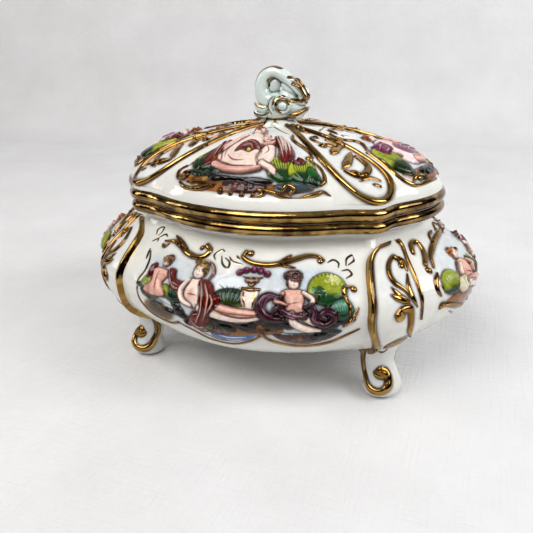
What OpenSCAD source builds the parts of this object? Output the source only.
// Footed porcelain trinket box with a lift-off lid.
// Millimetres, +Z up, origin on the table under the middle of the box.
// +X runs along the length, -Y is the front.

/* [Plan outline] */
// Length of the gilt rim
rim_length = 190; // [150:1:240]
// Depth of the gilt rim, front to back
rim_depth = 143; // [115:1:180]
// Superellipse power of the sides, 2 is a true ellipse
side_power = 1.8; // [1.7:0.05:2.4]
// Angle of the four drawn-out corners from the length axis
corner_angle = 44; // [40:1:48]
// Angular half width of a drawn-out corner
corner_spread = 7.5; // [6:0.5:10]
// How far a corner is drawn out, as a share of the radius
corner_reach = 0.045; // [0:0.005:0.08]

/* [Body profile] */
// Height of the seat where the lid rests
seat_z = 100; // [92:1:125]
// Height of the body's gilt rim
rim_h = 6; // [4:0.5:9]
// Height of the lowest turn of the concave neck, measured down from the rim
neck_h = 4; // [2:0.5:6]
// How far the neck stands in from the rim
neck_inset = 8.5; // [5:0.5:12]
// Height of the widest line of the belly
belly_z = 60; // [50:1:72]
// How far the belly stands out past the rim
belly_out = 20; // [12:1:26]
// Height of the underside above the table
floor_gap = 25; // [20:1:32]
// How far the flat underside stands in from the rim
base_inset = 23; // [15:1:30]
// Wall of the body casting
body_wall = 4.5; // [3:0.5:6]

/* [Lid] */
// Height of the lid's gilt rim
lid_rim_h = 6.5; // [4:0.5:9]
// How far the dome stands in from the lid's rim
dome_inset = 2; // [1:0.5:4]
// Rise of the dome above the lid's rim
dome_rise = 30.5; // [20:0.5:42]
// Power that shapes the crown of the dome
crown_power = 1.72; // [1.4:0.02:2.2]
// Power that shapes the shoulder of the dome
shoulder_power = 1.82; // [1.4:0.02:2.4]
// Wall of the lid casting
lid_wall = 4; // [3:0.5:6]
// Depth of the locating flange below the seat
flange_drop = 6; // [3:0.5:10]
// Thickness of the locating flange
flange_t = 3.5; // [2.5:0.5:5]
// Gap all round between the flange and the body
flange_clearance = 1.5; // [1:0.25:3]
// Gap between the lid's rim and the body's rim
seat_clearance = 0.3; // [0.2:0.05:0.5]

/* [Applied relief] */
// How far the corner panels stand proud
corner_proud = 2.2; // [1:0.1:3]
// How far the pictorial reliefs stand proud
relief_proud = 1.2; // [0.6:0.1:2]
// Depth to which applied clay is pressed into the casting
lute_depth = 0.6; // [0.3:0.1:1]
// Half the angular width of a corner panel
corner_panel_half = 7.5; // [5:0.5:9]

/* [Feet] */
// Outline angle at which the feet stand
foot_angle = 37; // [30:1:44]
// How far the feet stand in from the rim
foot_inset = 2; // [0:0.5:6]
// Half width of a foot at the toe
toe_half = 9.5; // [7:0.5:12]

/* [Finial] */
// Length scale of the fish, about its height when it lies on the mound
finial_h = 35; // [28:1:42]
// How far the fish's belly is pressed into its mound
fish_sink = 1.1; // [0.8:0.1:2]
// How far the fish stands towards its own head from the middle of the crown
fish_shift = 2; // [0:0.5:3]
// Length of the finial's mound
mound_length = 26; // [22:1:32]
// Depth of the finial's mound
mound_depth = 17; // [13:1:22]
// Height of the finial's mound
mound_h = 2.9; // [2:0.1:6]

/* [Hidden] */

glaze = "ghostwhite";
gilt = "goldenrod";
celadon = "powderblue";

// Slices round the outline
turns = 80;
outline_angles = [for (i = [0 : turns - 1]) i * 360 / turns];

// Radial offsets from the rim line that neighbouring pieces share
inner_off = -neck_inset - body_wall;
flange_off = inner_off - flange_clearance;
shell_top_z = seat_z - rim_h;
neck_z = shell_top_z - neck_h;
lid_seat_z = seat_z + seat_clearance;
dome_z = lid_seat_z + lid_rim_h;
apex_z = dome_z + dome_rise;

// Corner and side positions, as [name, angle] or [name, mirror in x, mirror in y]
corner_signs = [["front_left", -1, -1], ["front_right", 1, -1], ["rear_left", -1, 1], ["rear_right", 1, 1]];
long_sides = [["front", -90], ["rear", 90]];
short_sides = [["left", 180], ["right", 0]];

// ---- Plan outline ----

// Angle folded into the first quarter
function fold(a) = let(m = ((a % 180) + 180) % 180) m > 90 ? 180 - m : m;

// A raised tip at each corner with a shallow cove on either side
function tip(a) = let(d = (fold(a) - corner_angle) / corner_spread)
    1.6 * exp(-pow(d, 2)) - 0.6 * exp(-pow(d / 2.2, 2));

function superellipse(a) =
    pow(pow(abs(cos(a)), side_power) + pow(abs(sin(a)), side_power), -1 / side_power);

// Point on the outline at angle a, off millimetres outside the rim line
function outline_point(a, off, z, tip_share = 1) =
    let(k = superellipse(a) * (1 + corner_reach * tip_share * tip(a)))
    [(rim_length / 2 * k + off) * cos(a), (rim_depth / 2 * k + off) * sin(a), z];

// ---- Body and dome surfaces ----

// The belly fades the corners to this share of their reach
belly_tip_share = 0.6;

// Height at profile share s: 0 at the neck, 0.5 at the belly, 1 at the underside
function body_z(s) = s < 0.5
    ? neck_z + (belly_z - neck_z) * s / 0.5
    : belly_z - (belly_z - floor_gap) * sin(90 * (s - 0.5) / 0.5);

// Offset at profile share s: a sine shoulder above the belly, a quarter ellipse below it
function body_off(s) = s < 0.5
    ? -neck_inset + (belly_out + neck_inset) * pow(sin(90 * s / 0.5), 1.3)
    : -base_inset + (belly_out + base_inset) * cos(90 * (s - 0.5) / 0.5);

function body_point(a, s) = outline_point(a, body_off(s), body_z(s), belly_tip_share);

// Height of the underside where it stands off millimetres from the rim line
function underside_z(off) = let(
    reach = min(1, max(0, (off + base_inset) / (belly_out + base_inset))))
    belly_z - (belly_z - floor_gap) * sqrt(1 - reach * reach);

// Point on the dome at angle a and radius share k, drawn in and lowered by a wall
function dome_point(a, k, wall = 0) = let(
    p = outline_point(a, -dome_inset - wall, 0, k),
    rise = (dome_rise - wall) * pow(max(0, 1 - pow(k, crown_power)), 1 / shoulder_power))
    [p.x * k, p.y * k, dome_z + rise];

// ---- Mesh helpers ----

// Two triangles for each cell of a grid of rows, closed round each row when wrap is true
function grid_faces(rows, cols, wrap, first = 0) = [
    for (r = [0 : rows - 2], c = [0 : wrap ? cols - 1 : cols - 2])
        let(a = first + r * cols + c, b = first + r * cols + (c + 1) % cols)
        each [[a, b + cols, b], [a, a + cols, b + cols]]
];

function fan_faces(centre, first, cols, flip) = [
    for (c = [0 : cols - 1])
        let(a = first + c, b = first + (c + 1) % cols)
        flip ? [centre, b, a] : [centre, a, b]
];

// Closed solid from a stack of rings with a centre point at each end
module capped_rings(rings, start_centre, end_centre) {
    rows = len(rings);
    cols = len(rings[0]);
    points = [for (ring = rings) each ring, start_centre, end_centre];
    faces = [
        each grid_faces(rows, cols, true),
        each fan_faces(rows * cols, 0, cols, false),
        each fan_faces(rows * cols + 1, (rows - 1) * cols, cols, true)
    ];
    polyhedron(points, faces, convexity = 8);
}

// Closed ring whose section is a loop of [offset, height], carried round the outline
module outline_ring(section) {
    rows = len(section);
    points = [for (q = section, a = outline_angles) outline_point(a, q[0], q[1])];
    faces = [
        for (r = [0 : rows - 1], c = [0 : turns - 1])
            let(r2 = (r + 1) % rows, c2 = (c + 1) % turns,
                a = r * turns + c, b = r * turns + c2, d = r2 * turns + c, e = r2 * turns + c2)
            each [[a, e, b], [a, d, e]]
    ];
    polyhedron(points, faces, convexity = 8);
}

// Outward unit normal of a surface f(u, v), from two short steps
function surface_normal(f, u, v) = let(
    e = 0.01,
    n = cross(f(u, v + e / 90) - f(u, v - e / 90), f(u + e, v) - f(u - e, v)))
    n / norm(n);

// A skin on surface f(u, v): rows of v, each half(v) wide in u about middle(v).
// Rows lie closer together near both ends, where the outline turns.
module skin_patch(f, v_low, v_high, middle, half, proud, rows, cols) {
    function at(i, j) = let(v = v_low + (v_high - v_low) * (1 - cos(180 * i / rows)) / 2, t = 2 * j / cols - 1)
        [middle(v) + t * half(v), v];
    function lift(i, j, h) = let(q = at(i, j)) f(q[0], q[1]) + h * surface_normal(f, q[0], q[1]);
    count = (rows + 1) * (cols + 1);
    points = [
        for (h = [-lute_depth, proud], i = [0 : rows], j = [0 : cols]) lift(i, j, h)
    ];
    rim = [
        for (j = [0 : cols - 1]) j,
        for (i = [0 : rows - 1]) i * (cols + 1) + cols,
        for (j = [cols : -1 : 1]) rows * (cols + 1) + j,
        for (i = [rows : -1 : 1]) i * (cols + 1)
    ];
    back = grid_faces(rows + 1, cols + 1, false);
    front = [for (t = grid_faces(rows + 1, cols + 1, false, count)) [t[0], t[2], t[1]]];
    sides = [
        for (k = [0 : len(rim) - 1])
            let(a = rim[k], b = rim[(k + 1) % len(rim)])
            each [[a, b, b + count], [a, b + count, a + count]]
    ];
    polyhedron(points, [each back, each front, each sides], convexity = 6);
}

// Half width of an arched panel that narrows over the first share of its length
function arch(v, v_start, arch_len, half) = let(
    t = min(1, max(0, (v - v_start) / arch_len)))
    half * sqrt(max(0.09, 1 - (1 - t) * (1 - t)));

// Half width of a cartouche with rounded ends
function cartouche(v, v_low, v_high, half) = let(
    t = abs(2 * (v - v_low) / (v_high - v_low) - 1))
    half * pow(max(0.004, 1 - pow(t, 3.5)), 1 / 3.5);

// ---- Body pieces ----

shell_rows = 7;
bottom_rows = 8;

function body_rings(wall) = [
    for (i = [bottom_rows : -1 : 1]) let(s = 0.5 + 0.5 * i / bottom_rows)
        [body_off(s) - wall, max(body_z(s), floor_gap + wall), belly_tip_share],
    for (i = [shell_rows : -1 : 0]) let(s = 0.5 * i / shell_rows)
        [body_off(s) - wall, body_z(s), i == 0 ? 1 : belly_tip_share]
];

function section_ring(q) = [for (a = outline_angles) outline_point(a, q[0], q[1], q[2])];

module body_shell() {
    outer = body_rings(0);
    inner = body_rings(body_wall);
    count = len(inner);
    rings = [
        for (q = outer) section_ring(q),
        section_ring([-neck_inset, shell_top_z, 1]),
        section_ring([inner_off, shell_top_z, 1]),
        for (i = [count - 1 : -1 : 0]) section_ring(inner[i])
    ];
    color(glaze) capped_rings(rings, [0, 0, floor_gap], [0, 0, floor_gap + body_wall]);
}

// Half-round bead between two heights with a flat inner side
function bead_section(low, high, inner) = let(r = (high - low) / 2) [
    [inner, low],
    for (i = [0 : 8]) let(t = -90 + i * 180 / 8) [r * cos(t) - r, low + r + r * sin(t)],
    [inner, high]
];

module body_rim() {
    color(gilt) outline_ring(bead_section(shell_top_z, seat_z, inner_off));
}

body_corner_v = [0.07, 0.84];

// The corner panel leans to the short side under the rim, and swings towards the foot under the belly
corner_lean = 9.5;
function body_corner_middle(v) = let(t = min(1, max(0, (v - 0.5) / 0.35)))
    corner_angle - corner_lean * exp(-(v - 0.05) / 0.14) + (foot_angle - corner_angle) * t * t * (3 - 2 * t);

module body_corner(sx, sy) {
    color(glaze) mirror([sx < 0 ? 1 : 0, 0, 0]) mirror([0, sy < 0 ? 1 : 0, 0])
        skin_patch(function(u, v) body_point(u, v), body_corner_v[0], body_corner_v[1],
            function(v) body_corner_middle(v),
            function(v) arch(v, body_corner_v[0], 0.12, corner_panel_half),
            corner_proud, 12, 4);
}

long_relief_half = 31;
short_relief_half = 29;
body_relief_v = [0.12, 0.68];

module body_relief(middle, half) {
    color(glaze)
        skin_patch(function(u, v) body_point(u, v), body_relief_v[0], body_relief_v[1],
            function(v) middle,
            function(v) cartouche(v, body_relief_v[0], body_relief_v[1], half),
            relief_proud, 10, 12);
}

// ---- Feet ----

// Rings from the floor up: [share of height, outward shift, half outwards, half along] by toe_half
foot_rings = [
    [0.00, 0.10, 0.74, 0.80],
    [0.06, 0.16, 0.98, 1.02],
    [0.18, 0.24, 1.06, 1.10],
    [0.36, 0.10, 0.88, 1.02],
    [0.54, -0.12, 0.82, 1.00],
    [0.72, -0.12, 0.92, 1.08],
    [0.88, 0.00, 1.06, 1.20],
    [1.00, 0.06, 1.18, 1.30]
];
foot_sides = 16;

module foot(sx, sy) {
    foot_at = outline_point(foot_angle, -foot_inset, 0, belly_tip_share);
    turn = atan2(foot_at.y, foot_at.x);
    function top_z(out) = underside_z(out - foot_inset) + lute_depth * 3;
    rings = [
        for (q = foot_rings) [
            for (i = [0 : foot_sides - 1])
                let(t = i * 360 / foot_sides,
                    out = toe_half * (q[1] + q[2] * cos(t)),
                    along = toe_half * q[3] * sin(t))
                [out, along, q[0] * top_z(out)]
        ]
    ];
    last = foot_rings[len(foot_rings) - 1];
    color(glaze) mirror([sx < 0 ? 1 : 0, 0, 0]) mirror([0, sy < 0 ? 1 : 0, 0])
        translate(foot_at) rotate([0, 0, turn])
        capped_rings(rings, [0, 0, 0], [toe_half * last[1], 0, top_z(toe_half * last[1])]);
}

// ---- Lid pieces ----

dome_rows = 9;

function dome_ring(k, wall) = [for (a = outline_angles) dome_point(a, k, wall)];

module lid_shell() {
    // Radius shares run to the rim, closer together where the shoulder is steep
    shares = [for (i = [1 : dome_rows]) sin(90 * i / dome_rows)];
    rings = [
        for (i = [0 : dome_rows - 1]) dome_ring(shares[i], lid_wall),
        for (i = [dome_rows - 1 : -1 : 0]) dome_ring(shares[i], 0)
    ];
    color(glaze) capped_rings(rings, [0, 0, apex_z - lid_wall], [0, 0, apex_z]);
}

module lid_rim() {
    color(gilt) outline_ring(bead_section(lid_seat_z, dome_z, flange_off));
}

module lid_flange() {
    low = seat_z - flange_drop;
    inner = flange_off - flange_t;
    color(glaze) outline_ring([
        [inner, low + 1], [inner + 1, low], [flange_off - 1, low], [flange_off, low + 1],
        [flange_off, dome_z], [inner, dome_z]
    ]);
}

lid_corner_v = [0.16, 0.97];
lid_relief_v = [0.24, 0.96];

module lid_corner(sx, sy) {
    middle = corner_angle - 1;
    color(glaze) mirror([sx < 0 ? 1 : 0, 0, 0]) mirror([0, sy < 0 ? 1 : 0, 0])
        skin_patch(function(u, v) dome_point(u, v), lid_corner_v[0], lid_corner_v[1],
            function(v) middle,
            function(v) arch(lid_corner_v[1] + lid_corner_v[0] - v, lid_corner_v[0], 0.15, corner_panel_half + 4),
            relief_proud, 9, 4);
}

module lid_relief(middle, half) {
    color(glaze)
        skin_patch(function(u, v) dome_point(u, v), lid_relief_v[0], lid_relief_v[1],
            function(v) middle,
            function(v) cartouche(v, lid_relief_v[0], lid_relief_v[1], half),
            relief_proud, 9, 10);
}

// ---- Finial ----

// The crown falls away under the mound, so the mound sinks this far at its edge
mound_sink = 2.5;

module finial_mound() {
    color(celadon) translate([0, 0, apex_z - mound_sink]) {
        rings = [
            for (q = [[1, 0], [1, 0.45], [0.93, 0.75], [0.75, 0.93], [0.45, 1]]) [
                for (i = [0 : 23]) let(t = i * 15)
                    [mound_length / 2 * q[0] * cos(t), mound_depth / 2 * q[0] * sin(t), (mound_h + mound_sink) * q[1]]
            ]
        ];
        capped_rings(rings, [0, 0, 0], [0, 0, mound_h + mound_sink]);
    }
}

// Snout to tail as [length share, height share, half height, half depth], in shares of finial_h
fish_route = [
    [0.42, 0.34, 0.05, 0.06],
    [0.36, 0.34, 0.10, 0.12],
    [0.27, 0.34, 0.16, 0.16],
    [0.12, 0.35, 0.20, 0.19],
    [-0.05, 0.36, 0.20, 0.20],
    [-0.19, 0.43, 0.17, 0.19],
    [-0.27, 0.56, 0.14, 0.17],
    [-0.29, 0.70, 0.12, 0.16],
    [-0.23, 0.84, 0.11, 0.14],
    [-0.12, 0.90, 0.10, 0.13],
    [0.01, 0.87, 0.09, 0.12],
    [0.13, 0.79, 0.08, 0.12],
    [0.25, 0.69, 0.06, 0.13],
    [0.35, 0.59, 0.045, 0.13],
    [0.42, 0.50, 0.02, 0.08]
];
fish_sides = 12;
// Height of the belly's underside, in shares of finial_h
fish_belly = 0.16;

module finial_fish() {
    last = len(fish_route) - 1;
    function along(i) = let(
        a = fish_route[max(0, i - 1)], b = fish_route[min(last, i + 1)],
        d = [b[0] - a[0], b[1] - a[1]]) d / norm(d);
    rings = [
        for (i = [0 : last]) let(q = fish_route[i], d = along(i)) [
            for (j = [0 : fish_sides - 1]) let(
                t = -j * 360 / fish_sides,
                side = q[2] * cos(t))
                finial_h * [q[0] - d[1] * side, q[3] * sin(t), q[1] + d[0] * side]
        ]
    ];
    function centre(i) = let(q = fish_route[i]) finial_h * [q[0], 0, q[1]];
    color(celadon) translate([fish_shift, 0, apex_z + mound_h - fish_sink - fish_belly * finial_h])
        capped_rings(rings, centre(0), centre(last));
}

// ---- Assembly ----

body_shell();
body_rim();
for (c = corner_signs) {
    body_corner(c[1], c[2]);
    foot(c[1], c[2]);
    lid_corner(c[1], c[2]);
}
for (s = long_sides) {
    body_relief(s[1], long_relief_half);
    lid_relief(s[1], long_relief_half);
}
for (s = short_sides) {
    body_relief(s[1], short_relief_half);
    lid_relief(s[1], short_relief_half);
}
lid_shell();
lid_rim();
lid_flange();
finial_mound();
finial_fish();
